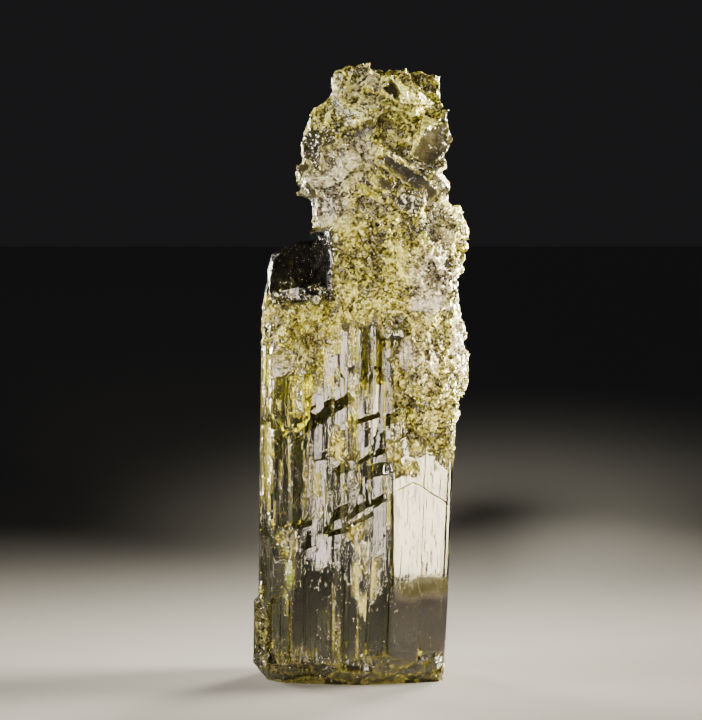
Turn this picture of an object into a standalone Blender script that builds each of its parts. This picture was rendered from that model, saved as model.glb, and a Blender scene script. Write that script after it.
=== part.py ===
"""Epidote crystal: one flattened prism, striated along its length, with an etched and lumpy head.

The crystal stands on its broken base. +Z is up, along the striations, -Y is the broad front face
and +X is to the right of somebody who looks at that face. The origin is below the middle of the
crystal's box, on the surface that it stands on. Lengths are in millimetres until the finished
crystal is scaled to metres.
"""

import math
import random

import bmesh
import bpy
from mathutils import Euler, Matrix, Vector, noise

NAME = "epidote_crystal"
METRES = 0.001

# Driving dimensions.
HEIGHT = 56.0
CORE_TOP = 36.0  # the prism's core ends here, inside the neck
LATH_DEPTH = 1.5  # how far the core lies behind the faces that the laths make
LATH_ROOT = 0.5  # how far a lath reaches into the core
NARROW_LATH = (0.32, 0.7)
BROAD_LATH = (0.9, 1.7)
ROUGHNESS = 0.22  # how far a lath may stand proud of its neighbours
BELOW = 2.0  # how far everything reaches below the base before the base is cut flat
ROOM = 60.0  # half the width of a box that is larger than the crystal

# Section of the prism seen from above: one (x, y) for each long edge, anticlockwise.
SECTION = [(-8.9, -1.6), (-5.6, -4.7), (2.7, -5.3), (8.3, -4.3),
           (8.8, 1.8), (5.2, 5.2), (-5.0, 5.6), (-8.7, 2.4)]
LEFT_FRONT, FRONT, SMOOTH, RIGHT, BACK_RIGHT, BACK, BACK_LEFT, LEFT = range(8)

# The prism narrows and leans to the left towards its base: the shift and the scale of x are
# those at the base and what each gains for a millimetre of height.
LEAN = (-0.70, 0.0294)
TAPER = (0.961, 0.00132)

# Height at which the laths of each face end, below the etched neck and the shoulder.
PRISM_TOP = {LEFT_FRONT: 34.6, FRONT: 33.0, SMOOTH: 23.0, RIGHT: 28.0,
             BACK_RIGHT: 31.0, BACK: 33.5, BACK_LEFT: 35.0, LEFT: 35.0}

# Ledges on each face, as (start, end, height, slope, step): between start and end along the face,
# the surface falls back by step above a line that starts at that height and climbs at that slope.
LEDGES = {
    LEFT_FRONT: [(0.0, 4.6, 8.0, 0.2, -0.15), (2.4, 4.6, 14.2, 0.2, 0.45), (1.8, 4.6, 21.6, 0.5, 0.45)],
    FRONT: [(0.0, 1.5, 14.8, 0.25, 0.55), (2.5, 8.4, 14.1, 0.53, 0.75), (3.0, 8.4, 19.4, 0.36, 0.55),
            (0.0, 4.8, 22.9, 0.72, 0.80), (4.8, 6.6, 26.5, 0.2, -0.45)],
    SMOOTH: [(0.0, 0.5, 2.5, 0.0, 0.9), (0.0, 0.5, 20.5, 0.0, -0.6)],
    RIGHT: [(0.0, 6.1, 11.0, 0.35, 0.3), (0.0, 6.1, 19.0, -0.3, 0.4)],
    BACK_RIGHT: [(0.0, 5.0, 9.0, -0.5, 0.4), (0.0, 5.0, 16.5, 0.4, 0.3), (0.0, 5.0, 24.0, -0.4, 0.3)],
    BACK: [(0.0, 4.0, 12.0, 0.5, 0.4), (2.5, 10.2, 8.0, 0.55, 0.5), (5.0, 10.2, 17.0, -0.4, -0.4),
           (0.0, 10.2, 20.0, 0.5, 0.6)],
    BACK_LEFT: [(0.0, 5.0, 7.0, 0.5, 0.3), (0.0, 5.0, 18.0, -0.4, 0.4)],
    LEFT: [(0.0, 4.1, 10.0, 0.4, 0.3), (0.0, 4.1, 17.0, -0.3, 0.3), (0.0, 4.1, 27.0, 0.3, 0.3)],
}
LEDGE_DIP = Vector((-0.38, 0.60, 0.70))  # normal of a lath's upper end: along, out of and up the face

# Broad flat plates that lie over the laths, as (face, near, far, rise, low, high).
PLATES = [
    (SMOOTH, 0.55, 5.8, 0.22, -BELOW, 24.0),
    (FRONT, 2.3, 3.9, 0.12, -BELOW, 11.8),
    (FRONT, 1.6, 2.7, 0.18, 8.0, 20.6),
    (FRONT, 5.3, 6.6, 0.10, 9.5, 13.6),
    (BACK, 1.0, 4.4, 0.15, -BELOW, 16.0),
    (LEFT, 0.4, 3.7, 0.50, -BELOW, 6.9),
]

# Faces of the broken base, as a point and the outward normal of the plane that cuts there.
CHIPS = [
    ((5.0, -4.75, 3.0), (0.15, -0.82, -0.55)),
    ((0.6, -5.3, 1.9), (-0.1, -0.78, -0.63)),
    ((-3.6, -4.9, 1.6), (-0.25, -0.80, -0.55)),
    ((7.0, -3.9, 1.3), (0.55, -0.55, -0.63)),
    ((-7.6, -3.0, 1.0), (-0.55, -0.60, -0.58)),
    ((-9.2, 0.5, 1.2), (-0.75, 0.1, -0.65)),
    ((-3.0, 5.3, 1.6), (-0.1, 0.75, -0.65)),
    ((5.0, 5.0, 1.0), (0.35, 0.65, -0.68)),
    ((8.0, 1.5, 0.9), (0.8, 0.15, -0.6)),
]

# The shoulder is the lower left end of the crystal: laths as high as SHOULDER_TOP from x =
# SHOULDER_SIDE outwards, and a block behind them, all cut off by the same smooth end faces.
SHOULDER_TOP = 41.0
SHOULDER_SIDE = -2.4
SHOULDER_BLOCK = ((-8.0, -3.6, 28.0), (-1.0, 4.4, SHOULDER_TOP))
SHOULDER_FACES = [
    ((-5.8, -3.3, 36.2), (-0.14, -0.72, 0.68)),
    ((-8.35, 0.0, 36.2), (-0.96, -0.1, 0.25)),
    ((-7.75, 0.0, 38.2), (-0.74, -0.1, 0.66)),
    ((-6.3, 0.0, 39.3), (-0.45, 0.0, 0.89)),
    ((-4.9, 0.0, 39.8), (-0.12, 0.0, 0.99)),
    ((-5.0, 2.2, 39.8), (0.0, 0.66, 0.75)),
]

# Fragments that make the neck and the head, as (centre, radii, turn in degrees, squareness, seed).
FRAGMENTS = {
    "neck": ((2.9, -0.1, 36.5), (5.7, 4.8, 5.6), (0, 0, 0), 0.45, 3),
    "apron": ((0.2, -2.9, 34.8), (3.3, 1.7, 3.0), (0, 0, 0), 0.3, 19),
    "throat": ((2.3, 0.1, 41.5), (5.9, 4.4, 5.0), (0, 0, 10), 0.4, 4),
    "head": ((1.3, 0.1, 47.2), (6.1, 4.4, 6.3), (0, 0, 0), 0.35, 5),
    "crown": ((2.6, 0.2, 52.0), (3.9, 3.4, 3.2), (0, 4, 0), 0.35, 6),
    "crown_left": ((-0.6, -0.3, 53.2), (2.4, 2.6, 2.4), (0, -15, 0), 0.45, 7),
    "brow_left": ((-2.3, -0.3, 50.9), (2.0, 2.7, 2.3), (0, -30, 0), 0.3, 21),
    "crown_right": ((5.5, 0.1, 53.0), (2.0, 2.5, 2.3), (0, 5, 0), 0.8, 8),
    "cheek_left": ((-3.0, -0.8, 47.3), (2.1, 3.0, 3.5), (0, 4, -20), 0.3, 9),
    "cheek_right": ((5.8, -0.6, 48.6), (2.1, 3.2, 3.3), (0, -4, 15), 0.3, 10),
    "spur": ((-4.1, -1.6, 44.2), (2.1, 1.5, 1.2), (0, 35, 0), 0.2, 11),
    "jaw": ((-0.4, -1.6, 43.3), (4.1, 2.5, 3.4), (0, 0, 0), 0.3, 12),
    "right_column": ((6.6, 0.2, 35.5), (2.4, 4.1, 7.0), (0, 0, 0), 0.5, 13),
    "right_knee": ((6.8, 0.0, 40.2), (2.6, 3.6, 3.6), (0, 0, 20), 0.4, 14),
    "right_swell": ((7.5, -0.3, 30.2), (2.3, 3.4, 4.8), (0, 0, 0), 0.4, 15),
    "right_skirt": ((5.9, -1.0, 26.0), (2.8, 4.0, 5.2), (0, 0, 8), 0.45, 16),
    "left_ledge": ((-6.7, -2.3, 32.4), (1.8, 1.7, 1.9), (0, 0, -40), 0.5, 17),
    "front_ledge": ((-4.2, -3.6, 34.0), (2.2, 1.4, 1.5), (0, 0, 0), 0.4, 20),
    "back_skirt": ((3.4, 3.5, 31.5), (4.0, 1.6, 4.5), (0, 0, 0), 0.4, 18),
}

# Flat faces broken into the fragments: how many, their seed, how low they reach, their radii, how deep
# each is cut for a millimetre of radius, and how far it leans from the surface.
BREAKS = 85
BREAK_SEED = 2
BREAKS_FROM = 38.5
BREAK_RADII = (1.0, 2.8)
BREAK_DEPTH = 0.15
BREAK_LEAN = 0.55

# Pieces that the etching spared, in the same form: they stand out of the head with flat faces.
SPARED = {
    "bar": ((4.2, -3.5, 46.4), (3.3, 1.2, 0.95), (24, 33, 8), 0.6, 31),
    "bar_end": ((6.3, -2.8, 45.1), (1.7, 1.4, 1.2), (15, 33, 25), 0.5, 32),
    "step": ((4.5, -3.2, 43.8), (1.5, 1.3, 1.2), (12, 20, 10), 0.6, 33),
    "cheek": ((5.9, -2.4, 48.9), (1.6, 1.5, 2.0), (0, 25, 30), 0.55, 34),
    "brow": ((3.3, -2.5, 53.0), (1.9, 1.2, 1.0), (-25, 38, 0), 0.6, 35),
    "temple": ((-3.4, -1.9, 48.2), (1.3, 1.6, 2.5), (0, 6, -32), 0.5, 36),
}

# Etching of the fragments: how far apart the crags stand and how far they rise and fall.
GRAIN = 0.31  # the smallest form left on the etched parts
CRAGS = [(1.9, 0.30), (0.9, 0.16)]
ETCHED_FACES = 5200


def solid(name, bm):
    """A mesh object in the scene, made from bm."""
    bmesh.ops.recalc_face_normals(bm, faces=bm.faces)
    mesh = bpy.data.meshes.new(name)
    bm.to_mesh(mesh)
    bm.free()
    obj = bpy.data.objects.new(name, mesh)
    bpy.context.scene.collection.objects.link(obj)
    return obj


def cut(bm, point, normal):
    """Takes away what lies beyond a plane and closes the solid there with one flat face."""
    found = bmesh.ops.bisect_plane(bm, geom=bm.verts[:] + bm.edges[:] + bm.faces[:], dist=1e-4,
                                   plane_co=point, plane_no=normal, clear_outer=True)
    rim = [item for item in found["geom_cut"] if isinstance(item, bmesh.types.BMEdge)]
    if rim:
        bmesh.ops.holes_fill(bm, edges=rim, sides=0)


def box(bm, low, high):
    """Adds a box between two corners."""
    low, high = Vector(low), Vector(high)
    place = Matrix.LocRotScale((low + high) / 2, None, high - low)
    bmesh.ops.create_cube(bm, size=1.0, matrix=place)


def lean(bm):
    """Narrows the prism and shifts it to the left towards the base."""
    for vertex in bm.verts:
        height = vertex.co.z
        vertex.co.x *= TAPER[0] + TAPER[1] * height
        vertex.co.x += LEAN[0] + LEAN[1] * height


def side(face):
    """The matrix from one face's own frame (along, outward, up) to the crystal's, and its width."""
    start = Vector(SECTION[face])
    end = Vector(SECTION[(face + 1) % len(SECTION)])
    along = (end - start).normalized()
    columns = (along.x, along.y, 0), (along.y, -along.x, 0), (0, 0, 1)
    turn = Matrix(columns).transposed().to_4x4()
    return Matrix.Translation((start.x, start.y, 0)) @ turn, (end - start).length


def lath(face, near, far, rise, low, high, rng, turn=12.0):
    """An upright blade on a face, from near to far along it, that stands rise proud of the section."""
    frame, _ = side(face)
    half = (far - near) / 2
    spare = 3.0
    bm = bmesh.new()
    box(bm, (-half, -LATH_DEPTH - LATH_ROOT, low), (half, rise, high + spare))
    dip = LEDGE_DIP + Vector((rng.uniform(-0.25, 0.25), rng.uniform(-0.2, 0.2), 0))
    cut(bm, (0, rise, high), dip)
    yaw = Matrix.Rotation(math.radians(rng.uniform(-turn, turn)), 4, "Z")
    bm.transform(frame @ Matrix.Translation((near + half, 0, 0)) @ yaw)
    lean(bm)
    return solid("lath", bm)


def steps(face, along, rng):
    """(low, high, rise) of each lath that stands at one place along a face, from the base up."""
    frame, _ = side(face)
    low, rise, found = -BELOW, 0.0, []
    crossed = [(height + slope * (along - start), step)
               for start, end, height, slope, step in LEDGES[face] if start <= along <= end]
    for height, step in sorted(crossed):
        height += rng.uniform(-0.45, 0.45)
        found.append((low, height, rise + rng.uniform(-ROUGHNESS, ROUGHNESS)))
        low = height - 0.6
        rise -= step
    top = PRISM_TOP[face] + rng.uniform(-1.2, 1.2)
    if (frame @ Vector((along, 0, 0))).x < SHOULDER_SIDE:
        top = SHOULDER_TOP
    found.append((low, top, rise + rng.uniform(-ROUGHNESS, ROUGHNESS)))
    return found


def laths(rng):
    """The laths that cover the prism, side by side round it, and the plates over them."""
    made = []
    for face in range(len(SECTION)):
        _, width = side(face)
        near = -0.2
        while near < width:
            sizes = NARROW_LATH if rng.random() < 0.55 else BROAD_LATH
            far = min(near + rng.uniform(*sizes), width + 0.2)
            for low, high, rise in steps(face, (near + far) / 2, rng):
                made.append(lath(face, near - 0.06, far + 0.06, rise, low, high, rng))
            near = far
    made += [lath(*values, rng, turn=0.0) for values in PLATES]
    return made


def core():
    """The prism behind the laths."""
    bm = bmesh.new()
    corners = [bm.verts.new((x, y, -BELOW)) for x, y in SECTION]
    bottom = bm.faces.new(corners)
    inset = [1 - LATH_DEPTH / max(abs(point[axis]) for point in SECTION) for axis in (0, 1)]
    bm.transform(Matrix.Diagonal((*inset, 1, 1)))
    made = bmesh.ops.extrude_face_region(bm, geom=[bottom])
    top = [item for item in made["geom"] if isinstance(item, bmesh.types.BMVert)]
    bmesh.ops.translate(bm, verts=top, vec=(0, 0, CORE_TOP + BELOW))
    lean(bm)
    return solid("core", bm)


def shoulder():
    """The block behind the laths at the lower left end of the crystal."""
    bm = bmesh.new()
    box(bm, *SHOULDER_BLOCK)
    return solid("shoulder", bm)


def limits():
    """The room inside the faces of the broken base and of the shoulder's end."""
    bm = bmesh.new()
    box(bm, (-ROOM, -ROOM, 0), (ROOM, ROOM, ROOM))
    for point, normal in CHIPS + SHOULDER_FACES:
        cut(bm, point, Vector(normal).normalized())
    return solid("limits", bm)


def fragment(centre, radii, turn, square, seed, cuts=18):
    """A broken piece of crystal: a box trimmed by flat faces.

    The faces touch an ellipsoid where square is 0, and leave most of the box where it is 1.
    """
    rng = random.Random(seed)
    bm = bmesh.new()
    box(bm, (-1, -1, -1), (1, 1, 1))
    for _ in range(cuts):
        normal = Vector([rng.gauss(0, 1) for _ in range(3)]).normalized()
        reach = (1 - square) + square * sum(abs(part) for part in normal)
        cut(bm, normal * reach * rng.uniform(0.84, 1.0), normal)
    bm.transform(Matrix.LocRotScale(centre, Euler([math.radians(a) for a in turn]), radii))
    return solid("fragment", bm)


def break_faces(mass):
    """Breaks flat faces into the mass at random places."""
    rng = random.Random(BREAK_SEED)
    vertices = mass.data.vertices
    sites = [vertex for vertex in vertices if vertex.co.z > BREAKS_FROM]
    for site in rng.sample(sites, BREAKS):
        radius = rng.uniform(*BREAK_RADII)
        lean = Vector([rng.uniform(-BREAK_LEAN, BREAK_LEAN) for _ in range(3)])
        normal = (site.normal + lean).normalized()
        middle = site.co - normal * radius * BREAK_DEPTH
        for vertex in vertices:
            proud = (vertex.co - middle).dot(normal)
            if proud > 0 and (vertex.co - middle).length < radius:
                vertex.co -= normal * proud


def crag(point, spacing, height):
    """How far the surface rises at a point: each cell of the pattern is one tilted flat face."""
    _, cells = noise.voronoi(point / spacing)
    tilt = noise.cell_vector(cells[0] * 41.0) - Vector((0.5, 0.5, 0.5))
    rise = noise.cell(cells[0] * 67.0) - 0.5
    return height * (rise + 1.6 * tilt.dot(point / spacing - cells[0]))


def fused(pieces):
    """Overlapping pieces as one object with an even mesh over their common outer surface."""
    bm = bmesh.new()
    for piece in pieces:
        bm.from_mesh(piece.data)
        bpy.data.objects.remove(piece)
    mass = solid("mass", bm)
    remesh = mass.modifiers.new("Grain", "REMESH")
    remesh.mode = "VOXEL"
    remesh.voxel_size = GRAIN
    return applied(mass)


def etched(pieces):
    """The pieces as one mass with flat broken faces and a surface that is eaten into crags."""
    mass = fused(pieces)
    break_faces(mass)
    for vertex, normal in [(vertex, vertex.normal.copy()) for vertex in mass.data.vertices]:
        vertex.co += normal * sum(crag(vertex.co, *level) for level in CRAGS)
    mass = fused([mass])
    thin = mass.modifiers.new("Thin", "DECIMATE")
    thin.ratio = ETCHED_FACES / (2 * len(mass.data.polygons))
    return applied(mass)


def applied(obj):
    """The object with its modifiers applied."""
    bpy.context.view_layer.update()
    graph = bpy.context.evaluated_depsgraph_get()
    mesh = bpy.data.meshes.new_from_object(obj.evaluated_get(graph))
    obj.modifiers.clear()
    obj.data = mesh
    return obj


def combined(first, others, operation):
    """The first solid after a Boolean with all the others, which are removed."""
    operands = bpy.data.collections.new("operands")
    for obj in others:
        operands.objects.link(obj)
    boolean = first.modifiers.new("Boolean", "BOOLEAN")
    boolean.operation = operation
    boolean.operand_type = "COLLECTION"
    boolean.collection = operands
    applied(first)
    for obj in others:
        bpy.data.objects.remove(obj)
    bpy.data.collections.remove(operands)
    return first


def islands(bm):
    """The faces of each closed surface in a mesh."""
    left = set(bm.faces)
    while left:
        edge = [left.pop()]
        island = set(edge)
        while edge:
            around = {near for loop in edge.pop().loops for near in loop.edge.link_faces} & left
            left -= around
            island |= around
            edge.extend(around)
        yield island


def fill_hollows(crystal):
    """Fills the sealed gaps between the laths, of which only the walls have to go."""
    bm = bmesh.new()
    bm.from_mesh(crystal.data)
    _, *hollows = sorted(islands(bm), key=len, reverse=True)
    bmesh.ops.delete(bm, geom=[face for hollow in hollows for face in hollow], context="FACES")
    bm.to_mesh(crystal.data)
    bm.free()


def epidote():
    """Olive yellow, glassy mineral."""
    material = bpy.data.materials.new("epidote")
    material.use_nodes = True
    shader = material.node_tree.nodes["Principled BSDF"]
    shader.inputs["Base Color"].default_value = (0.30, 0.28, 0.08, 1.0)
    shader.inputs["Roughness"].default_value = 0.22
    shader.inputs["Metallic"].default_value = 0.0
    return material


def finish(crystal):
    """Centres the crystal on its box and gives it its height in metres, its name and its material."""
    crystal.name = NAME
    points = [vertex.co for vertex in crystal.data.vertices]
    low, high = (Vector([pick(axis) for axis in zip(*points)]) for pick in (min, max))
    middle = (low + high) / 2
    crystal.data.transform(Matrix.Translation((-middle.x, -middle.y, 0)))
    crystal.data.transform(Matrix.Scale(HEIGHT / high.z * METRES, 4))
    crystal.data.materials.clear()
    crystal.data.materials.append(epidote())
    crystal.data.shade_flat()
    for collection in list(crystal.users_collection):
        collection.objects.unlink(crystal)
    parts = bpy.data.collections.new("Epidote crystal")
    bpy.context.scene.collection.children.link(parts)
    parts.objects.link(crystal)


def main():
    for obj in list(bpy.data.objects):
        bpy.data.objects.remove(obj)
    rng = random.Random(7)
    prism = combined(core(), [shoulder(), *laths(rng)], "UNION")
    crystal = combined(prism, [limits()], "INTERSECT")
    mass = etched([fragment(*values) for values in FRAGMENTS.values()])
    spared = [fragment(*values) for values in SPARED.values()]
    combined(crystal, [mass, *spared], "UNION")
    fill_hollows(crystal)
    finish(crystal)


main()
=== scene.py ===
"""Looks of the epidote crystal: fine laths and striations, etched crags, and clear olive mineral.

Shapes are worked out in millimetres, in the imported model's frame, and go back to metres at the end:
+Z is up along the striations, -Y is the broad front face, and +X is to the right.
"""
import bisect
import math
import random

import bmesh
import bpy
import numpy as np
from mathutils import Matrix, Vector, noise


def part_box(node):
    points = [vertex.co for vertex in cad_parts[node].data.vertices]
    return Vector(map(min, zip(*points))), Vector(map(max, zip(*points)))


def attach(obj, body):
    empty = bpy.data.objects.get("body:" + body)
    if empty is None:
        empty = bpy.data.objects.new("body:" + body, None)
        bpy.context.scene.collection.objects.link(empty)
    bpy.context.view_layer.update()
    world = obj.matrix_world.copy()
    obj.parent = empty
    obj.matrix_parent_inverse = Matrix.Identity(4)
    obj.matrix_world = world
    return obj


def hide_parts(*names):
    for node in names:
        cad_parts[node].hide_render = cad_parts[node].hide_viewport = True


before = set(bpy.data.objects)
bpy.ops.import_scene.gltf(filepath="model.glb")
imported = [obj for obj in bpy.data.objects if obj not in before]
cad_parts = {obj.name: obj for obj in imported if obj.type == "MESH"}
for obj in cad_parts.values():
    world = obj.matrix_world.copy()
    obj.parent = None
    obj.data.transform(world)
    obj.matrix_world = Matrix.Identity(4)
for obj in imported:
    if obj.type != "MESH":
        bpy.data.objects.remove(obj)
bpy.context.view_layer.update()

NODE = "epidote_crystal"
MM = 0.001
SEED = 11

# --- Fine laths on the long faces -------------------------------------------------------------
GROOVE = 0.03  # width of the step between two neighbouring fine laths
TREAD = 0.025  # half the height of the step where a fine lath ends
CLIMB = 0.5  # how much higher a line of lath ends lies for a millimetre to the right
STRIP_SIZES = [(0.08, 0.18), (0.08, 0.22), (0.10, 0.26), (0.28, 0.55), (0.6, 1.2)]
ROW_SIZES = (0.55, 1.0)  # height between two lines where fine laths may end
TURN = 0.17  # slope of the most turned fine lath against the face that it lies on
STRAIGHT = 0.1  # share of that slope which the straight laths are kept within
FRONT_REACH = 10.5  # strips run from -FRONT_REACH to FRONT_REACH across the front and the back
SIDE_REACH = 6.5  # and from -SIDE_REACH to SIDE_REACH across the sides
PRISM_HEIGHT = 41.5
FROSTED = 0.2  # share of the fine laths that are frosted
UNFROSTED = (2.6, 19.5)  # the front has no frosted laths right of this place and below this height
FROSTING = (0.15, 12.0, 26.0)  # least frost, the height up to which it stays so, and where it is full
ENDS = (0.30, 0.06, 0.10)  # how often laths end at a line: in the front's middle, elsewhere on it, around it
MIDDLE = (8, 30)  # the front's middle lies between these heights
FRONT_RELIEF = 0.05  # how deep the fine laths are cut at the front
BLOCKY_RELIEF = 0.13  # how much deeper they are in its blocky part
BLOCKY = (10.5, 13.5, 27.0, 30.0)  # heights where that part starts, is full, is still full and ends
BACK_RELIEF = 0.09
SIDE_RELIEF = 0.07
RELIEF_STARTS = (1.2, 2.4)  # the relief of the front and the back sets in between these depths
SIDE_STARTS = (6.8, 7.6)  # and that of the sides between these distances from the middle
CALMED = 0.7  # share of the relief that full etching takes away
LEFT_CALM = 0.55  # share of the turn that the laths at the left lack
LEFT_STARTS = (-4.5, -6.5)

# --- Smooth right part of the front ------------------------------------------------------------
SMOOTH_FACE = 2.9  # the smooth part starts here
SMOOTH_TOP = 21.5  # and ends at this height
SMOOTH_FADES = (0.4, 1.0)  # how far it fades out to the left and upwards
SMOOTHNESS = 0.96  # share of the relief that it lacks
CRACK = [(3.4, 18.1), (4.6, 18.7), (5.4, 18.4), (6.2, 17.75), (7.3, 17.1), (8.8, 15.9)]  # as (x, height)
CRACK_DROP = 0.05  # how far the face falls back above the crack
CRACK_WIDTH = 0.05
CRACK_DEPTH = 0.16

# --- Straight cuts into the front, as (x, height) of both ends, width and depth ----------------
SHALLOW = 0.15  # share of its depth that a cut has at its shallow side
CUTS = [
    ((-7.2, 22.3), (-5.0, 23.6), 0.45, 0.35),  # ledges that climb to the right
    ((-5.2, 23.4), (-0.8, 26.3), 0.90, 0.60),
    ((-6.6, 14.4), (-4.4, 15.0), 0.45, 0.55),
    ((-3.0, 14.0), (-1.2, 14.5), 0.45, 0.50),
    ((-1.2, 14.7), (1.1, 15.9), 0.40, 0.45),
    ((-2.3, 19.6), (-1.0, 20.1), 0.90, 0.60),
    ((0.6, 19.5), (3.6, 20.4), 1.10, 0.50),
    ((-0.5, 23.9), (1.7, 24.7), 0.40, 0.50),
    ((2.4, 24.2), (3.9, 24.9), 0.40, 0.50),
    ((0.38, 26.9), (0.38, 32.4), 0.40, 0.50),  # gaps between the laths
    ((1.62, 27.4), (1.62, 32.7), 0.55, 0.60),
    ((-0.8, 20.6), (-0.8, 24.6), 0.70, 0.55),
    ((3.2, 24.8), (3.2, 30.0), 0.40, 0.50),
    ((-5.8, 27.4), (-5.8, 30.0), 0.30, 0.35),
    ((-9.0, 15.0), (-9.0, 20.5), 0.25, 0.30),
    ((2.82, 9.2), (2.82, 17.6), 0.18, 0.30),
    ((5.65, 2.3), (5.65, 4.8), 0.95, 0.45),
]

# --- Etched parts: below this line, as (x, height), the front and the back are not etched ------
FRONT_ETCH = [(-10.5, 30.6), (-7.4, 30.4), (-5.6, 31.4), (-2.9, 30.6), (-1.3, 32.0), (0.4, 32.7),
              (3.2, 32.6), (3.6, 25.0), (4.6, 22.2), (6.4, 21.4), (10.5, 20.9)]
BACK_ETCH = [(-10.5, 37.0), (-3.6, 36.0), (-1.0, 33.0), (1.5, 28.5), (6.0, 26.5), (10.5, 24.0)]
ETCH_FADE = 1.1  # height over which the etching fades out
ETCH_WARPS = [(0.45, 1.3), (1.7, 0.4)]  # how closely and how far its edge wanders
ETCH_FRINGE = 2.2  # how far its edge runs up and down along the laths
RAGGED = [(2.6, 0.5, 0, 0.5), (1.1, 0.9, 7, 0.6)]  # a patch's edge: closeness across and up, offset, amount
SHOULDER_SIDE = -2.6  # left of this, the end faces of the shoulder are smooth
SHOULDER_BAND = 35.4  # and the etched band below them ends at this height
SHOULDER = 34.7  # the shoulder starts at this height and is painted darker than the rest, as painted shade
CLEAN = [  # facets of the head that the etching spared, as (centre, radius, normal)
    ((-4.3, -3.6, 48.0), 2.6, (-0.40, -0.91, 0.0)),
    ((-4.4, -4.3, 44.7), 1.2, (-0.33, -0.91, -0.25)),
    ((4.3, -4.9, 46.0), 3.2, (-0.09, -0.94, -0.34)),
    ((4.5, -4.6, 43.6), 1.6, (0.10, -0.98, -0.20)),
    ((5.9, -4.0, 48.2), 1.8, (0.35, -0.91, -0.21)),
    ((6.8, -3.7, 49.2), 2.2, (0.50, -0.87, 0.0)),
    ((2.3, -4.1, 53.5), 1.2, (0.23, -0.94, 0.27)),
]
FACET_MATCH = (0.90, 0.97)  # how well a normal matches a spared facet's, from not at all to fully
SPARED_ETCH = 0.92  # share of the etching that a spared facet lacks
PATCHES = [  # granular patches on the front, as (x, height, half width, half height, strength)
    (-9.0, 5.0, 0.6, 3.0, 0.8),
    (-6.7, 12.9, 0.8, 1.7, 0.7),
    (-2.0, 21.9, 0.8, 1.2, 0.9),
    (4.1, 19.9, 1.2, 0.7, 0.9),
    (2.9, 21.5, 0.7, 1.2, 0.7),
    (-0.6, 14.3, 0.9, 1.1, 0.7),
    (-4.6, 30.0, 1.5, 2.2, 0.8),
    (3.6, 26.0, 0.9, 2.0, 0.8),
]
STREAKS = [  # frosted streaks on the front, written the same way
    (-8.3, 19.5, 0.7, 5.0, 0.9),
    (-5.6, 27.0, 1.9, 4.0, 0.8),
    (-8.4, 28.5, 1.4, 3.6, 0.8),
    (-3.7, 20.4, 0.45, 3.6, 1.0),
    (-3.2, 16.6, 0.5, 1.7, 1.0),
    (2.55, 17.1, 0.28, 2.4, 1.0),
    (0.1, 12.5, 1.0, 3.0, 0.5),
    (-6.2, 2.6, 2.6, 1.6, 0.7),
    (-1.0, 2.4, 1.6, 0.9, 0.6),
    (-2.6, 6.2, 0.35, 3.4, 0.9),
    (-1.7, 5.4, 0.25, 2.6, 0.8),
    (-6.6, 5.6, 0.40, 3.2, 0.8),
    (-4.6, 4.6, 0.30, 2.6, 0.7),
    (-0.3, 4.8, 0.30, 2.4, 0.8),
    (1.7, 4.2, 0.30, 2.0, 0.7),
]
FLAKES = [  # pale frosted flakes on the front, written the same way
    (-0.35, 10.4, 0.30, 3.2, 0.9),
    (0.30, 7.9, 0.62, 1.4, 1.0),
    (1.00, 9.8, 0.22, 2.4, 0.9),
    (-6.9, 8.0, 0.25, 0.6, 0.8),
    (6.0, 34.5, 2.2, 0.55, 1.0),  # this one and the next are lilac-white, as they lie in the crust
    (4.1, 30.2, 0.7, 1.5, 0.9),
]
HUES_AND_SHEENS = [  # parts of the front's crust that are yellow-green (above 0) or lilac-grey (below 0); the lilac-grey is a painted sheen of cool light
    (4.8, 51.8, 3.4, 3.4, 1.0),
    (-0.6, 51.2, 2.6, 2.2, 0.3),
    (3.1, 38.0, 1.0, 4.4, 0.9),
    (-3.6, 33.2, 3.6, 2.2, 0.5),
    (0.6, 35.8, 2.2, 3.0, 0.6),
    (0.0, 42.0, 1.6, 1.8, 0.5),
    (2.6, 43.0, 1.4, 1.8, 0.7),
    (-3.2, 44.2, 2.6, 3.2, -1.0),
    (-1.2, 47.6, 2.4, 1.6, -0.7),
    (6.4, 36.6, 2.4, 3.0, -1.0),
    (7.2, 41.6, 1.8, 2.8, -0.8),
    (5.6, 29.6, 1.6, 3.0, -0.6),
    (9.0, 31.5, 1.0, 4.5, -1.0),
]
PAINTED_DARK_BAND = (2.9, 7.6, 10.0)  # an amber band painted dark across the smooth face where its bright reflection breaks off, as painted shade, as (left, bottom, top)
PAINTED_REFLECTION_TOP = 9.0  # below this height the smooth face carries a painted dim lilac-grey reflection
PAINTED_LOW_SHADE_TOP = 11.5  # and below this one the whole crystal is painted darker, as painted shade
SLOT = (5.16, 6.14, 2.29, 4.81)  # a slot near the base that is painted dark as painted shadow, as (left, right, bottom, top)
PAINTED_GLOW = (-6.4, 10.4, 0.55, 1.3)  # a bright yellow-green frosted spot, painted as light shining through it, as (x, height, half width, half height)
CRAGS = [(0.95, 0.15), (0.42, 0.12)]  # spacing of the etched crags and how far they rise and fall
FINEST = 0.27  # the longest edge left on the etched parts
BEHIND = 1.25  # how much longer it may be at the back
LEAST_CRAGS = 0.15  # share of their height that the crags keep where nothing is grainy
HEAD = 42.5  # the head starts here: its broken faces are larger and less grainy than the neck's
HEAD_CELLS = 5.0  # spacing of the patches of one tone on the head
RIDGE = 0.06  # how far a full ridge stands out from its surroundings
EASING = 6  # steps over which the surroundings are averaged
RIM_TOP = 3.4  # the breaks along the edge of the base reach this height
RIM_FADE = 1.4  # height over which they fade out
RIM_CRAGS = [(3.1, 0.42), (1.2, 0.09)]  # spacing of these breaks and how far they rise and fall
RIM_FLAT = 1.9  # how much wider than tall they are


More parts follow.
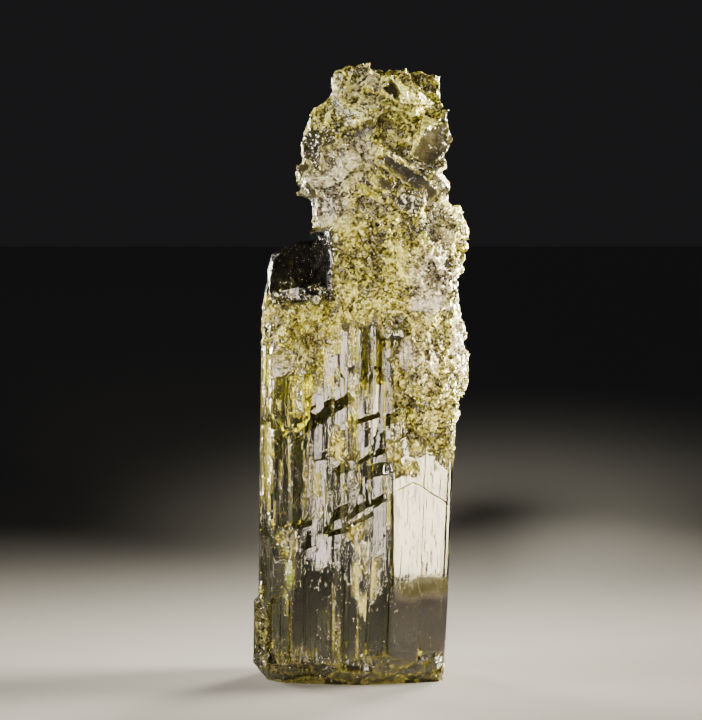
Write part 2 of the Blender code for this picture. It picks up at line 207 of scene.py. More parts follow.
def smooth(low, high, value):
    """0 below low, 1 above high, and a smooth step between."""
    t = min(max((value - low) / (high - low), 0.0), 1.0)
    return t * t * (3 - 2 * t)


def along(line, x):
    """Height of a line of (x, height) points at x."""
    for (x0, z0), (x1, z1) in zip(line, line[1:]):
        if x <= x1:
            return z0 + (z1 - z0) * (x - x0) / (x1 - x0)
    return line[-1][1]


def patch_at(point, patches):
    """How far a point of the front lies inside one of the patches, from 0 to 1."""
    if point.y > 0 or point.z > PRISM_HEIGHT:
        return 0.0
    ragged = sum(amount * noise.noise(Vector((point.x * across, offset, point.z * up)))
                 for across, up, offset, amount in RAGGED)
    found = 0.0
    for x, z, wide, tall, strength in patches:
        away = math.hypot((point.x - x) / wide, (point.z - z) / tall) + ragged
        found = max(found, strength * smooth(1.1, 0.7, away))
    return found


def etch_at(point):
    """How strongly the surface is etched at a point, from 0 to 1."""
    warp = sum((noise.noise_vector(point * close) * far for close, far in ETCH_WARPS), Vector())
    x, y, z = point + warp
    z += ETCH_FRINGE * noise.noise(Vector((point.x * 1.9, point.y * 0.6, point.z * 0.2)))
    edge = along(FRONT_ETCH if y < 0 else BACK_ETCH, x)
    etch = smooth(-ETCH_FADE / 2, ETCH_FADE / 2, z - edge)
    if point.x < SHOULDER_SIDE and point.z < PRISM_HEIGHT:
        below_end = smooth(0.0, 0.5, SHOULDER_BAND - z)
        etch *= below_end * smooth(0.0, 1.5, -y)
    return max(etch, patch_at(point, PATCHES))


def clean_at(point, normal):
    """How much a place belongs to a facet that the etching spared, from 0 to 1."""
    return max(smooth(*FACET_MATCH, normal.dot(Vector(facing).normalized()))
               * smooth(radius, 0.85 * radius, (point - Vector(centre)).length)
               for centre, radius, facing in CLEAN)


def rim_at(point):
    """How much a place belongs to the broken edge of the base, from 0 to 1."""
    return smooth(RIM_TOP, RIM_TOP - RIM_FADE, point.z + noise.noise(point * 0.9))


def on_smooth_face(x, y, z):
    """1 on the smooth right part of the front, and 0 elsewhere."""
    if y > 0:
        return 0.0
    left, up = SMOOTH_FADES
    return smooth(SMOOTH_FACE - left, SMOOTH_FACE, x) * smooth(SMOOTH_TOP + up, SMOOTH_TOP, z)


def relief_at(x, y, z):
    """How deep the fine laths are cut at a point of the front or the back."""
    if y > 0:
        return BACK_RELIEF
    start, full, last, end = BLOCKY
    blocky = smooth(start, full, z) * smooth(end, last, z)
    return (FRONT_RELIEF + BLOCKY_RELIEF * blocky) * (1 - SMOOTHNESS * on_smooth_face(x, y, z))


def frosting_at(x, y, z):
    """How much of the frost of a frosted lath shows at a point."""
    right, below = UNFROSTED
    if y < 0 and x > right and z < below:
        return 0.0
    least, start, full = FROSTING
    return least + (1 - least) * smooth(start, full, z)


class Strip:
    """One fine lath, from start to end across a face, in pieces of their own level and turn."""

    def __init__(self, rng, start, end):
        self.start, self.end = start, end
        self.heights, self.levels, self.turns, self.frosts = [], [], [], []
        self.add_piece(rng, -99.0)

    def add_piece(self, rng, height):
        self.heights.append(height)
        self.levels.append(rng.random())
        self.turns.append(rng.uniform(-TURN, TURN) * rng.choice((STRAIGHT, 1)))
        self.frosts.append(rng.uniform(0.4, 1.0) if rng.random() < FROSTED else 0.0)

    def add_ends(self, rng, rows, chance):
        for row in rows:
            if rng.random() < chance(row):
                self.add_piece(rng, row)

    def piece(self, height):
        return bisect.bisect_right(self.heights, height) - 1

    def level(self, height):
        """Depth of the lath's outer edge, from 0 to 1."""
        return self.levels[self.piece(height)]

    def slant(self, place, height):
        """How far the lath's turn takes it in at a place, in millimetres."""
        turn = self.turns[self.piece(height)]
        place = min(max(place, self.start), self.end)
        return turn * (place - self.start) if turn > 0 else -turn * (self.end - place)

    def frost(self, height):
        return self.frosts[self.piece(height)]

    def streak(self, height):
        """How frosted the lath is inside a frosted streak."""
        return smooth(0.35, 0.65, self.levels[self.piece(height)])


def strips(rng, reach):
    """The fine laths side by side from -reach to reach."""
    made, start = [], -reach
    while start < reach:
        end = start + rng.uniform(*rng.choice(STRIP_SIZES))
        made.append(Strip(rng, start, end))
        start = end + GROOVE
    return made


def strip_at(made, starts, place):
    return made[max(bisect.bisect_right(starts, place + GROOVE / 2) - 1, 0)]


def slice_mesh(bm, faces, planes):
    """Cuts the faces along each plane."""
    geometry = list(faces)
    geometry += dict.fromkeys(edge for face in faces for edge in face.edges)
    geometry += dict.fromkeys(vertex for face in faces for vertex in face.verts)
    for point, normal in planes:
        done = bmesh.ops.bisect_plane(bm, geom=geometry, dist=1e-4, plane_co=point, plane_no=normal)
        geometry = done["geom"]


def dice(bm, fronts, sides, rows):
    """Cuts the prism along both edges of every fine lath and of every line where laths may end."""
    across = [(place, (1, 0, 0)) for strip in fronts for place in (strip.start, strip.end)]
    deep = [(place, (0, 1, 0)) for strip in sides for place in (strip.start, strip.end)]
    tilted = Vector((-CLIMB, 0, 1))
    level = [(row + edge, tilted) for row in rows for edge in (-TREAD, TREAD)]
    planes = [(Vector(normal) * place / Vector(normal).length_squared, normal)
              for place, normal in across + deep + level]
    prism = [face for face in bm.faces
             if face.calc_center_median().z < PRISM_HEIGHT and etch_at(face.calc_center_median()) < 0.9]
    slice_mesh(bm, prism, planes)


def front_faces(bm, left, right, bottom, top):
    """The faces of the front in a region."""
    return [face for face in bm.faces if face.normal.y < -0.8
            and left < face.calc_center_median().x < right
            and bottom < face.calc_center_median().z < top]


def cuts():
    """Every straight cut as its start, direction, length, width and depth."""
    crack = [(*ends, CRACK_WIDTH, CRACK_DEPTH) for ends in zip(CRACK, CRACK[1:])]
    for start, end, width, depth in CUTS + crack:
        start, end = Vector(start), Vector(end)
        yield start, (end - start).normalized(), (end - start).length, width, depth


def outline_cuts(bm):
    """Cuts the front along both edges of every wall of the straight cuts."""
    for start, run, length, width, _ in cuts():
        along_cut, across = Vector((run.x, 0, run.y)), Vector((-run.y, 0, run.x))
        origin = Vector((start.x, 0, start.y))
        end = start + run * length
        faces = front_faces(bm, min(start.x, end.x) - width - 1, max(start.x, end.x) + width + 1,
                            min(start.y, end.y) - width - 2, max(start.y, end.y) + width + 2)
        sides = [width / 2, width / 2 + GROOVE]
        slice_mesh(bm, faces, [(origin + across * side, across) for side in sides]
                   + [(origin - across * side, across) for side in sides]
                   + [(origin + along_cut * place, along_cut)
                      for place in (-GROOVE, 0, length, length + GROOVE)])


def cut_at(x, z):
    """How deep the straight cuts are at a place of the front. Each deepens from one side to the other."""
    deepest = 0.0
    for start, run, length, width, depth in cuts():
        place = Vector((x, z)) - start
        side = run.cross(place)
        inside = (smooth(-GROOVE, 0, place.dot(run)) * smooth(length + GROOVE, length, place.dot(run))
                  * smooth(width / 2 + GROOVE, width / 2, abs(side)))
        deepest = max(deepest, depth * inside * (SHALLOW + (1 - SHALLOW) * (side / width + 0.5)))
    return deepest


def cut_laths(bm, rng):
    """Cuts the fine laths into the prism's long faces."""
    rows, height = [], -FRONT_REACH * CLIMB
    while height < PRISM_HEIGHT + FRONT_REACH * CLIMB:
        rows.append(height)
        height += rng.uniform(*ROW_SIZES)
    fronts = strips(rng, FRONT_REACH)
    sides = strips(rng, SIDE_REACH)
    backs = [Strip(rng, strip.start, strip.end) for strip in fronts]
    lefts = [Strip(rng, strip.start, strip.end) for strip in sides]
    in_middle, elsewhere, around = ENDS
    low, high = MIDDLE
    for strip in fronts:
        strip.add_ends(rng, rows, lambda row: in_middle if low < row < high else elsewhere)
    for strip in backs + sides + lefts:
        strip.add_ends(rng, rows, lambda row: around)
    frost_layer = bm.verts.layers.float.new("frost")
    dice(bm, fronts, sides, rows)
    bm.normal_update()
    outline_cuts(bm)
    front_starts = [strip.start for strip in fronts]
    side_starts = [strip.start for strip in sides]
    for vertex in bm.verts:
        x, y, z = vertex.co
        if z > PRISM_HEIGHT or z < 1e-3:
            continue
        calm = 1 - CALMED * etch_at(vertex.co)
        height = z - CLIMB * x
        strip = strip_at(fronts if y < 0 else backs, front_starts, x)
        smooth_face = on_smooth_face(x, y, z)
        slanted = (1 - SMOOTHNESS * smooth_face) * (1 - LEFT_CALM * smooth(*LEFT_STARTS, x))
        depth = relief_at(x, y, z) * strip.level(height) + slanted * strip.slant(x, height)
        if z > along(CRACK, x):
            depth += CRACK_DROP * smooth_face
        if y < 0:
            depth += cut_at(x, z)
        vertex.co.y -= math.copysign(depth, y) * smooth(*RELIEF_STARTS, abs(y)) * calm
        frost = strip.frost(height) * frosting_at(x, y, z)
        frost = max(frost, patch_at(vertex.co, STREAKS) * strip.streak(height))
        vertex[frost_layer] = max(frost, patch_at(vertex.co, FLAKES))
        strip = strip_at(sides if x > 0 else lefts, side_starts, y)
        depth = SIDE_RELIEF * strip.level(z) + strip.slant(y, z)
        vertex.co.x -= math.copysign(depth, x) * smooth(*SIDE_STARTS, abs(x)) * calm


def crag(point, spacing, height):
    """How far the surface rises at a point: each cell of the pattern is one tilted flat face."""
    _, cells = noise.voronoi(point / spacing)
    tilt = noise.cell_vector(cells[0] * 41.0) - Vector((0.5, 0.5, 0.5))
    rise = noise.cell(cells[0] * 67.0) - 0.5
    return height * (rise + 1.6 * tilt.dot(point / spacing - cells[0]))


def broken_at(point):
    """How much a place is etched or broken, from 0 to 1."""
    return max(etch_at(point), rim_at(point))


def refine(bm):
    """Divides the etched and the broken faces until their edges are short."""
    for longest in (1.0, 0.5, FINEST):
        edges = [edge for edge in bm.edges
                 if edge.calc_length() > longest * (BEHIND if edge.verts[0].co.y > 0 else 1)
                 and broken_at((edge.verts[0].co + edge.verts[1].co) / 2) > 0.15]
        bmesh.ops.subdivide_edges(bm, edges=edges, cuts=1)
        bmesh.ops.triangulate(bm, faces=[face for face in bm.faces if len(face.verts) > 3
                                         and broken_at(face.calc_center_median()) > 0.1])


def grit_at(point):
    """How grainy the etching is at a point, from 0 to 1."""
    patchy = smooth(-0.25, 0.25, noise.noise(point * 0.42 + Vector((3.1, 0, 0))))
    grit = 1 - smooth(HEAD - 1.5, HEAD + 1.5, point.z) * (0.95 - 0.5 * patchy)
    return grit * (1 - 0.7 * rim_at(point))


def eaten(point):
    """How far the crags rise at a point."""
    return sum(crag(point, *level) for level in CRAGS) * (LEAST_CRAGS + (1 - LEAST_CRAGS) * grit_at(point))


def note_facets(bm):
    """Notes which facets the etching spared, and gives every facet a random value for its colour, which on
    the head also follows the way the facet faces, as painted shading.
    """
    bm.normal_update()
    clean_layer = bm.verts.layers.float.new("clean")
    tone_layer = bm.faces.layers.float.new("tone")
    for vertex in bm.verts:
        vertex[clean_layer] = clean_at(vertex.co, vertex.normal)
    for face in bm.faces:
        place = face.calc_center_median()
        on_head = place.z > HEAD
        _, cells = noise.voronoi(place / (HEAD_CELLS if on_head else CRAGS[0][0]))
        # Painted shade: on the head, facets that face different ways get different tones, as if lit
        # differently.
        facing = Vector(round(2 * c) for c in face.normal) if on_head else Vector()
        face[tone_layer] = noise.cell(cells[0] * 53.0 + facing * 17.3)


def etch_surface(bm):
    """Eats crags into the etched parts and breaks the edge of the base."""
    clean_layer = bm.verts.layers.float["clean"]
    etch_layer, rim_layer = (bm.verts.layers.float.new(name) for name in ("etch", "rim"))
    moves = []
    for vertex in bm.verts:
        place = vertex.co
        etch = etch_at(place) * (1 - SPARED_ETCH * vertex[clean_layer])
        rim = rim_at(place)
        vertex[etch_layer], vertex[rim_layer] = etch, rim
        move = etch * eaten(place) if etch > 0.02 else 0.0
        if rim > 0 and place.z > 1e-3:
            flat = Vector((place.x, place.y, place.z * RIM_FLAT))
            move += rim * min(sum(crag(flat, *level) for level in RIM_CRAGS), 0.0)
        if move:
            level = vertex.normal if place.z > 1 else Vector((*vertex.normal.xy, 0))
            moves.append((vertex, level * move))
    for vertex, move in moves:
        vertex.co += move


def keep_inside(bm, low, high):
    """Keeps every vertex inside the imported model's box."""
    for vertex in bm.verts:
        vertex.co = [min(max(c, a), b) for c, a, b in zip(vertex.co, low, high)]


def hue_and_sheen_at(point):
    """How yellow-green (up to 1) or lilac-grey (down to -1) the crust is at a point; the lilac-grey is a
    painted sheen.
    """
    warp = noise.noise_vector(point * 0.8) * 0.9
    tint = sum(amount * smooth(1.25, 0.5, math.hypot((point.x + warp.x - x) / wide,
                                                     (point.z + warp.z - z) / tall))
               for x, z, wide, tall, amount in HUES_AND_SHEENS)
    return min(max(tint, -1.0), 1.0) * smooth(0.5, -0.5, point.y)


def mark(bm):
    """Notes for the material how grainy, dark and bright each place is: darkness painted in place of shadow
    on the shoulder and in a slot, and a spot of painted light that seems to shine through.
    """
    layers = {name: bm.verts.layers.float.new(name)
              for name in ("grit", "shade", "glow", "still", "flake", "tint")}
    x, z, wide, tall = PAINTED_GLOW
    left, right, bottom, top = SLOT
    for vertex in bm.verts:
        place = vertex.co
        vertex[layers["grit"]] = grit_at(place)
        vertex[layers["still"]] = on_smooth_face(*place)
        vertex[layers["flake"]] = patch_at(place, FLAKES)
        vertex[layers["tint"]] = hue_and_sheen_at(place)
        # Painted shade on the shoulder.
        vertex[layers["shade"]] = (smooth(SHOULDER - 0.5, SHOULDER + 0.3, place.z)
                                   * smooth(SHOULDER_SIDE + 0.6, SHOULDER_SIDE, place.x)
                                   * smooth(PRISM_HEIGHT - 0.2, PRISM_HEIGHT - 0.6, place.z))
        # Painted shadow in the slot near the base.
        if place.y < 0 and left < place.x < right and bottom < place.z < top:
            vertex[layers["shade"]] = 1.0
        # Painted light: a frosted spot that looks lit from within.
        if place.y < 0:
            away = math.hypot((place.x - x) / wide, (place.z - z) / tall)
            vertex[layers["glow"]] = smooth(1.2, 0.6, away)


def note_ridges(mesh):
    """Notes how far each vertex stands out from its surroundings."""
    places = np.empty(len(mesh.vertices) * 3)
    normals = np.empty(len(mesh.vertices) * 3)
    ends = np.empty(len(mesh.edges) * 2, int)
    mesh.vertices.foreach_get("co", places)
    mesh.vertex_normals.foreach_get("vector", normals)
    mesh.edges.foreach_get("vertices", ends)
    places, normals, ends = places.reshape(-1, 3), normals.reshape(-1, 3), ends.reshape(-1, 2)
    neighbours = np.bincount(ends.ravel(), minlength=len(places))[:, None]
    around = places.copy()
    for _ in range(EASING):
        total = np.zeros_like(around)
        np.add.at(total, ends[:, 0], around[ends[:, 1]])
        np.add.at(total, ends[:, 1], around[ends[:, 0]])
        around = total / neighbours
    rise = np.clip(((places - around) * normals).sum(axis=1) / (RIDGE * MM), -1, 1)
    broken = np.zeros(len(places))
    for name in ("etch", "rim"):
        amount = np.empty(len(places))
        mesh.attributes[name].data.foreach_get("value", amount)
        broken = np.maximum(broken, amount)
    rise *= np.clip(broken * 2 - 0.6, 0, 1)
    mesh.attributes.new("ridge", "FLOAT", "POINT").data.foreach_set("value", rise)


def crystal_mesh():
    """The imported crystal's mesh with the fine relief that the solid leaves out."""
    rng = random.Random(SEED)
    noise.seed_set(SEED)  # the clock seeds noise_vector otherwise
    bm = bmesh.new()
    bm.from_mesh(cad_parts[NODE].data)
    bm.transform(Matrix.Scale(1 / MM, 4))
    bmesh.ops.remove_doubles(bm, verts=bm.verts, dist=1e-4)
    bmesh.ops.dissolve_limit(bm, angle_limit=math.radians(0.4), verts=bm.verts, edges=bm.edges)
    low, high = (Vector(corner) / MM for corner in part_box(NODE))
    cut_laths(bm, rng)
    bmesh.ops.dissolve_limit(bm, angle_limit=math.radians(0.3), verts=bm.verts, edges=bm.edges)
    refine(bm)
    note_facets(bm)
    etch_surface(bm)
    keep_inside(bm, low, high)
    bmesh.ops.triangulate(bm, faces=bm.faces)
    mark(bm)
    bm.transform(Matrix.Scale(MM, 4))
    mesh = bpy.data.meshes.new("crystal_surface")
    bm.to_mesh(mesh)
    bm.free()
    mesh.shade_flat()
    note_ridges(mesh)
    return mesh


# --- Materials ----------------------------------------------------------------------------------
IOR = 1.75
ABSORPTION = (0.62, 0.61, 0.09, 1)
DENSITY = 850.0  # of the absorption, for each metre
MARKS = (  # what the mesh notes for the material
    "etch", "frost", "tone", "ridge", "rim", "grit", "clean", "shade", "glow", "still", "flake", "tint")
STREAK = (1.0, 1.0, 0.06)  # a pattern scaled by this is drawn out along the laths
HATCH = (1.0, 1.0, 0.12)  # and one scaled by this is hatched
HATCH_ANGLES = (0.55, -0.35)  # in radians, to either side
FINE = 0.04  # height of the finest lines, in millimetres
MOST_PAINTED_REFLECTION = 0.06  # share of the transmission that the painted reflection takes away

# Colours of the crust, from pits to ridges, as (place, colour); the dark pits are partly painted shade and
# the pale ridges partly a painted highlight
YELLOW = [(0.0, (0.025, 0.02, 0.002)), (0.32, (0.16, 0.145, 0.01)),
          (0.60, (0.52, 0.48, 0.06)), (0.88, (0.95, 0.92, 0.28))]
# Lilac-grey crust: partly its own colour, partly a painted sheen of cool light
GREY = [(0.0, (0.025, 0.022, 0.015)), (0.32, (0.12, 0.105, 0.07)),
        (0.60, (0.40, 0.35, 0.29)), (0.88, (0.90, 0.84, 0.64))]
SPARED_CRUST = [(0.38, (0.03, 0.025, 0.015)), (0.62, (0.12, 0.10, 0.04))]
LILAC_FLAKE = (0.86, 0.80, 0.76, 1)
# Painted light of the bright yellow-green spot
PAINTED_GLOW_COLOUR = (0.24, 0.32, 0.0, 1)

# Colours of the frosted laths
FROSTY = [(0.35, (0.15, 0.13, 0.01)), (0.65, (0.58, 0.55, 0.09))]
# Painted shade of the frosted laths near the base
FROST_PAINTED_LOW_SHADE = (0.11, 0.08, 0.008, 1)
PALE_FLAKE = (0.80, 0.76, 0.24, 1)

# Colours of the clear parts
CLEAR = (0.98, 0.97, 0.86, 1)
CLEAR_FACET = (0.12, 0.10, 0.05, 1)
# Painted shade: the clear parts turn near black on the shoulder and in the slot
CLEAR_PAINTED_SHADE = (0.02, 0.016, 0.008, 1)
# Painted shade of the clear parts near the base
CLEAR_PAINTED_LOW_SHADE = (0.10, 0.08, 0.03, 1)
# Painted reflection, dim and lilac-grey, low on the smooth face
PAINTED_REFLECTION_COLOUR = (0.40, 0.34, 0.34, 1)
# Painted shade: the amber band where the reflection on the smooth face breaks off
PAINTED_DARK_BAND_COLOUR = (0.10, 0.085, 0.012, 1)


class Nodes:
    """Short ways to add and link shader nodes."""

    def __init__(self, material):
        material.use_nodes = True
        self.tree = material.node_tree
        self.tree.nodes.clear()

    def put(self, socket, value):
        """Links a socket to another one or sets its value."""
        if isinstance(value, bpy.types.NodeSocket):
            self.tree.links.new(value, socket)
        else:
            socket.default_value = value

    def add(self, kind, inputs=None, **settings):
        node = self.tree.nodes.new(kind)
        for name, value in settings.items():
            setattr(node, name, value)
        for name, value in (inputs or {}).items():
            self.put(node.inputs[name], value)
        return node

    def mix(self, factor, a, b):
        """Mixes two colours."""
        node = self.add("ShaderNodeMix", {0: factor}, data_type="RGBA")
        self.put(node.inputs[6], a)
        self.put(node.inputs[7], b)
        return node.outputs[2]

    def span(self, value, low, high, to_low=0.0, to_high=1.0):
        """Maps a value from one range to another."""
        node = self.add("ShaderNodeMapRange", {"Value": value, "From Min": low, "From Max": high,
                                               "To Min": to_low, "To Max": to_high})
        return node.outputs["Result"]

    def blend(self, value, at_0, at_1):
        """A number that goes with a value from 0 to 1."""
        return self.span(value, 0.0, 1.0, at_0, at_1)

    def math(self, operation, *values):
        return self.add("ShaderNodeMath", dict(enumerate(values)), operation=operation).outputs[0]

    def times(self, a, b):
        return self.math("MULTIPLY", a, b)

    def plus(self, a, b):
        return self.math("ADD", a, b)

    def minus(self, a, b):
        return self.math("SUBTRACT", a, b)

    def most(self, a, b):
        return self.math("MAXIMUM", a, b)

    def vector(self, operation, *values):
        node = self.add("ShaderNodeVectorMath", dict(enumerate(values)), operation=operation)
        return node.outputs["Vector"]

    def ramp(self, value, stops):
        """A colour for each value, from (place, colour) stops."""
        node = self.add("ShaderNodeValToRGB", {"Fac": value})
        elements = node.color_ramp.elements
        while len(elements) < len(stops):
            elements.new(1.0)
        for element, (place, colour) in zip(elements, stops):
            element.position = place
            element.color = (*colour, 1)
        return node.outputs["Color"]

    def mapped(self, vector, name, value):
        return self.add("ShaderNodeMapping", {"Vector": vector, name: value}).outputs[0]

    def noise(self, vector, scale, detail=3.0):
        node = self.add("ShaderNodeTexNoise", {"Vector": vector, "Scale": scale, "Detail": detail})
        return node.outputs["Fac"]


class Epidote(Nodes):
    """Nodes of the mineral, which work from the place on the crystal and from what the mesh notes.

    A pattern's scale is its number of cells in a metre.
    """

    def __init__(self, material):
        super().__init__(material)
        self.place = self.add("ShaderNodeTexCoord").outputs["Object"]
        self.x, self.y, self.z = self.add("ShaderNodeSeparateXYZ", {0: self.place}).outputs
        for name in MARKS:
            setattr(self, name, self.add("ShaderNodeAttribute", attribute_name=name).outputs["Fac"])
        self.streaked = self.mapped(self.place, "Scale", STREAK)
        self.patches = self.noise(self.place, 420.0, 4.0)
        self.streaks = self.noise(self.streaked, 2600.0)
        self.grain = self.cells(5200.0)
        self.other = self.math("FRACT", self.times(self.tone, 13.7))
        self.calm = self.blend(self.grit, 1.0, 0.0)
        self.behind = self.span(self.y, -2.2 * MM, 0.5 * MM)
        self.hatched = self.hatching()

    def cells(self, scale):
        """A random colour for each cell of a pattern."""
        return self.add("ShaderNodeTexVoronoi", {"Vector": self.place, "Scale": scale}).outputs["Color"]

    def grains(self, scale):
        """A random vector for each cell of a pattern, from -0.5 to 0.5."""
        return self.vector("SUBTRACT", self.cells(scale), (0.5, 0.5, 0.5))

    def hatching(self):
        """Fine lines, which lean to one side on some facets and to the other side on the rest."""
        right, left = (self.noise(self.mapped(self.mapped(self.place, "Rotation", (0.0, angle, 0.0)),
                                              "Scale", HATCH), 5200.0, 2.0) for angle in HATCH_ANGLES)
        leaning = self.span(self.other, 0.49, 0.51)
        return self.plus(self.times(leaning, right), self.times(self.blend(leaning, 1.0, 0.0), left))

    def low(self, most):
        """A number that grows from 0 to most towards the base, where darkening is painted in place of
        shadow.
        """
        return self.span(self.z, PAINTED_LOW_SHADE_TOP * MM, (PAINTED_LOW_SHADE_TOP - 4) * MM, 0.0, most)

    def bands(self):
        """The painted dim reflection low on the smooth face, and the dark band painted across it where its
        bright reflection breaks off.
        """
        wander = self.span(self.noise(self.place, 500.0), 0.3, 0.7, -0.3 * MM, 0.3 * MM)
        level = self.plus(self.z, wander)
        front = self.span(self.y, -3.0 * MM, -3.6 * MM)
        # Painted reflection: a dim lilac-grey veil low on the smooth face.
        painted_reflection = self.span(level, PAINTED_REFLECTION_TOP * MM, (PAINTED_REFLECTION_TOP - 1) * MM, 0.0, MOST_PAINTED_REFLECTION)
        painted_reflection = self.times(self.times(front, self.still), painted_reflection)
        left, bottom, top = (edge * MM for edge in PAINTED_DARK_BAND)
        # Painted shade: a dark amber band where the bright reflection on the smooth face breaks off.
        painted_dark_band = self.times(self.span(level, bottom, (bottom + top) / 2),
                           self.span(level, top + 0.2 * MM, top))
        painted_dark_band = self.times(self.times(painted_dark_band, front), self.span(self.x, left, left + 0.5 * MM))
        return painted_reflection, painted_dark_band

    def etched(self):
        """How etched, frosted or chipped the surface is."""
        frost = self.times(self.frost, self.most(self.flake, self.span(self.streaks, 0.35, 0.6)))
        chipped = self.times(self.rim, self.span(self.ridge, -0.1, 0.9, 0.10, 0.9))
        dull = self.most(chipped, self.times(self.clean, 0.35))
        etched = self.most(self.most(self.etch, self.glow), self.most(frost, dull))
        # Painted shade also takes most of the frost off the shoulder and the slot.
        return self.times(etched, self.blend(self.shade, 1.0, 0.15))

    def paleness(self):
        """How pale the crust is: pits are painted dark in place of shadow, some facets are dark, and ridges
        are pale, partly from frost and partly as a painted highlight.
        """
        speckle = self.noise(self.place, 3600.0, 2.0)
        grainy = self.blend(self.grit, 0.5, 1.0)
        # Painted shade darkens the pits and a painted highlight brightens the ridges.
        pale = self.plus(self.span(self.ridge, -1.0, 1.0, -0.13, 0.14), self.blend(self.tone, 0.26, 0.54))
        for part in (
            self.times(self.span(self.hatched, 0.35, 0.65, -0.13, 0.13), self.calm),
            self.math("ABSOLUTE", self.times(self.tint, 0.09)),
            self.blend(self.grit, 0.11, 0.08),
            # On the head this tone is partly painted shading of the facets.
            self.times(self.blend(self.tone, -0.24, 0.24), self.calm),
            self.times(self.span(self.patches, 0.3, 0.7, -0.24, 0.24), grainy),
            self.span(self.grain, 0.25, 0.75, -0.19, 0.19),
            self.times(self.span(speckle, 0.3, 0.7, -0.08, 0.08), grainy),
            self.times(self.behind, -0.2),
        ):
            pale = self.plus(pale, part)
        return self.span(pale, 0.12, 0.88)

    def greyness(self):
        """How grey the crust is instead of yellow-green: partly a grey of its own that differs at random,
        partly a painted lilac sheen.
        """
        grey = self.times(self.span(self.other, 0.45, 0.55), self.span(self.ridge, 0.1, 0.8, 1.0, 0.2))
        grey = self.times(grey, self.blend(self.grit, 0.7, 0.35))
        grey = self.minus(grey, self.blend(self.tint, 0.0, 0.6))
        grey = self.minus(grey, self.times(self.behind, 0.2))
        # Painted sheen: the lilac-grey parts of the front's crust.
        grey = self.most(grey, self.span(self.tint, 0.0, -1.0, 0.0, 0.85))
        return self.span(grey, 0.0, 1.0)

    def crust(self):
        """Colour of the etched parts."""
        pale = self.paleness()
        crust = self.mix(self.greyness(), self.ramp(pale, YELLOW), self.ramp(pale, GREY))
        flaked = self.times(self.flake, self.span(self.streaks, 0.44, 0.50, 0.1, 1.0))
        crust = self.mix(flaked, crust, LILAC_FLAKE)
        crust = self.mix(self.clean, crust, self.ramp(self.patches, SPARED_CRUST))
        # Painted light: the frosted spot is painted bright yellow-green.
        return self.mix(self.glow, crust, PAINTED_GLOW_COLOUR)

    def frosting(self):
        """Colour of the frosted laths and the flakes."""
        # Painted shade: the frosted laths turn dark towards the base.
        frosting = self.mix(self.low(0.45), self.ramp(self.streaks, FROSTY), FROST_PAINTED_LOW_SHADE)
        return self.mix(self.flake, frosting, PALE_FLAKE)

    def clear_colour(self, painted_reflection, painted_dark_band):
        """Colour of the clear parts."""
        colour = self.mix(self.clean, CLEAR, CLEAR_FACET)
        # Painted shade: near black on the shoulder and in the slot.
        colour = self.mix(self.shade, colour, CLEAR_PAINTED_SHADE)
        # Painted shade: the clear parts turn darker towards the base.
        colour = self.mix(self.low(0.5), colour, CLEAR_PAINTED_LOW_SHADE)
        # Painted reflection low on the smooth face.
        colour = self.mix(self.span(painted_reflection, 0.0, MOST_PAINTED_REFLECTION), colour, PAINTED_REFLECTION_COLOUR)
        # Painted shade of the band across the smooth face.
        return self.mix(painted_dark_band, colour, PAINTED_DARK_BAND_COLOUR)

    def normals(self, etched):
        """Fine lines, and small grains that each tilt their own way."""
        lines = self.span(self.noise(self.streaked, 8000.0, 2.0), self.blend(self.still, 0.53, 0.59), 0.70)
        pits = self.times(self.span(self.noise(self.place, 2600.0), 0.63, 0.66), self.still)
        lines = self.plus(self.most(lines, pits), self.times(self.span(self.hatched, 0.4, 0.6), self.calm))
        strength = self.minus(self.blend(self.still, 0.6, 0.35), self.times(self.clean, 0.55))
        fine = self.add("ShaderNodeBump", {"Height": lines, "Strength": strength, "Distance": FINE * MM})
        much = self.times(etched, self.blend(self.grit, 0.45, 0.9))
        much = self.most(much, self.times(self.clean, 0.14))
        much = self.most(much, self.times(self.shade, 0.11))
        tilt = self.vector("ADD", self.grains(2600.0), self.grains(6500.0))
        tilt = self.add("ShaderNodeVectorMath", {0: tilt, "Scale": much}, operation="SCALE")
        tilted = self.vector("ADD", fine.outputs[0], tilt.outputs["Vector"])
        return self.vector("NORMALIZE", tilted)


def epidote():
    """Clear olive mineral, frosted and paler where it is etched."""
    material = bpy.data.materials.new("epidote")
    n = Epidote(material)
    painted_reflection, painted_dark_band = n.bands()
    etched = n.etched()
    crusted = n.most(n.span(n.etch, 0.3, 0.6), n.most(n.clean, n.glow))
    frosted = n.mix(crusted, n.frosting(), n.crust())
    colour = n.mix(n.span(etched, 0.0, 0.25), n.clear_colour(painted_reflection, painted_dark_band), frosted)
    glossy = n.times(n.span(n.tone, 0.66, 0.70), n.etch)
    rough = n.times(n.blend(etched, 0.06, 0.27), n.blend(glossy, 1.0, 0.5))
    rough = n.plus(rough, n.times(etched, n.span(n.grain, 0.25, 0.75, -0.12, 0.12)))
    clear = n.plus(n.blend(etched, 1.0, 0.25), n.times(glossy, 0.2))
    # The painted reflection and the painted dark band take some transmission away.
    clear = n.minus(clear, n.most(painted_reflection, n.times(painted_dark_band, 0.4)))
    surface = n.add("ShaderNodeBsdfPrincipled", {
        "Base Color": colour, "Roughness": rough, "Transmission Weight": clear, "Normal": n.normals(etched)})
    surface.inputs["IOR"].default_value = IOR
    volume = n.add("ShaderNodeVolumeAbsorption")
    volume.inputs["Color"].default_value = ABSORPTION
    volume.inputs["Density"].default_value = DENSITY
    n.add("ShaderNodeOutputMaterial", {"Surface": surface.outputs[0], "Volume": volume.outputs[0]})
    return material


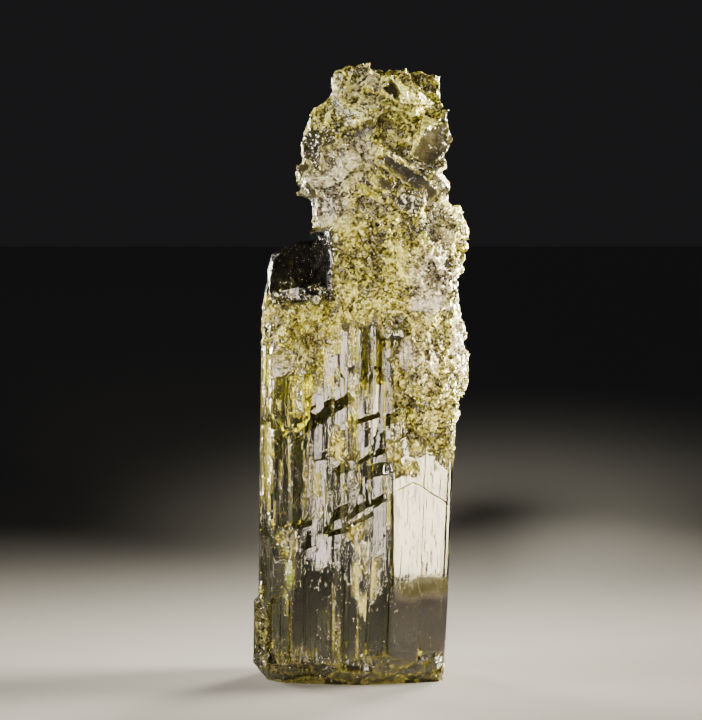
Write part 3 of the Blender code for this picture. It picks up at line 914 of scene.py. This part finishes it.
def plain(name, colour, roughness):
    """One colour and one roughness."""
    material = bpy.data.materials.new(name)
    n = Nodes(material)
    surface = n.add("ShaderNodeBsdfPrincipled", {"Base Color": (*colour, 1), "Roughness": roughness})
    n.add("ShaderNodeOutputMaterial", {"Surface": surface.outputs[0]})
    return material


# --- Stage --------------------------------------------------------------------------------------
FLOOR = 600  # half the floor's side
WARM, COOL = (1.0, 0.93, 0.76), (1.0, 0.93, 0.86)
LIGHTS = [  # as (name, place, target, sides, watts, spread in degrees, colour)
    ("low_card", (21, -47, 20.4), (5, -5, 24), (15, 37), 0.0066, 50, (1.0, 0.86, 0.52)),
    ("front_card", (-9, -50, 21.9), (-1.5, -5, 24), (19, 34), 0.0027, 50, (1.0, 0.84, 0.72)),
    ("left_side", (-130, -15, 62), (0, 0, 46), (50, 60), 0.031, 40, COOL),
    ("right_side", (130, 25, 50), (0, 0, 48), (60, 60), 0.30, 40, WARM),
    ("back_right", (85, 115, 45), (0, 0, 46), (70, 60), 0.20, 40, WARM),
    ("back_left", (-100, 95, 45), (0, 0, 46), (60, 60), 0.10, 40, WARM),
    ("front_top", (-20, -150, 125), (1, 0, 47), (30, 30), 0.0047, 16, WARM),
]
SURROUNDINGS = (0.012, 0.012, 0.013, 1)
LENS = 145  # on Blender's 36 mm sensor
TARGET = (-0.9, 0, 29.15)
DISTANCE = 263
ELEVATION = 6  # degrees above the target


def add_object(name, data):
    obj = bpy.data.objects.new(name, data)
    bpy.context.scene.collection.objects.link(obj)
    return obj


def aim(obj, place, target):
    """Puts a camera or a light at a place, turned towards a target, both in millimetres."""
    place, target = Vector(place) * MM, Vector(target) * MM
    obj.location = place
    obj.rotation_mode = "QUATERNION"
    obj.rotation_quaternion = (target - place).to_track_quat("-Z", "Y")


def softbox(name, place, target, sides, power, spread, colour):
    light = bpy.data.lights.new(name, "AREA")
    light.spread = math.radians(spread)
    light.shape = "RECTANGLE"
    light.size, light.size_y = (side * MM for side in sides)
    light.energy = power
    light.color = colour
    obj = add_object(name, light)
    obj.visible_camera = False
    aim(obj, place, target)


def stage():
    """Pale floor, soft studio lights, dim surroundings and the camera."""
    bm = bmesh.new()
    bmesh.ops.create_grid(bm, x_segments=1, y_segments=1, size=FLOOR * MM)
    mesh = bpy.data.meshes.new("floor")
    bm.to_mesh(mesh)
    bm.free()
    floor = add_object("floor", mesh)
    floor.data.materials.append(plain("floor", (0.60, 0.59, 0.57), 0.7))

    for light in LIGHTS:
        softbox(*light)

    world = bpy.data.worlds.new("surroundings")
    bpy.context.scene.world = world
    world.use_nodes = True
    world.node_tree.nodes["Background"].inputs["Color"].default_value = SURROUNDINGS

    camera = add_object("camera", bpy.data.cameras.new("camera"))
    camera.data.lens = LENS
    camera.data.clip_start = 5 * MM
    elevation = math.radians(ELEVATION)
    away = Vector((0, -math.cos(elevation), math.sin(elevation)))
    aim(camera, Vector(TARGET) + DISTANCE * away, TARGET)
    bpy.context.scene.camera = camera


crystal = add_object("crystal", crystal_mesh())
crystal.data.materials.append(epidote())
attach(crystal, "root")
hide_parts(NODE)
stage()
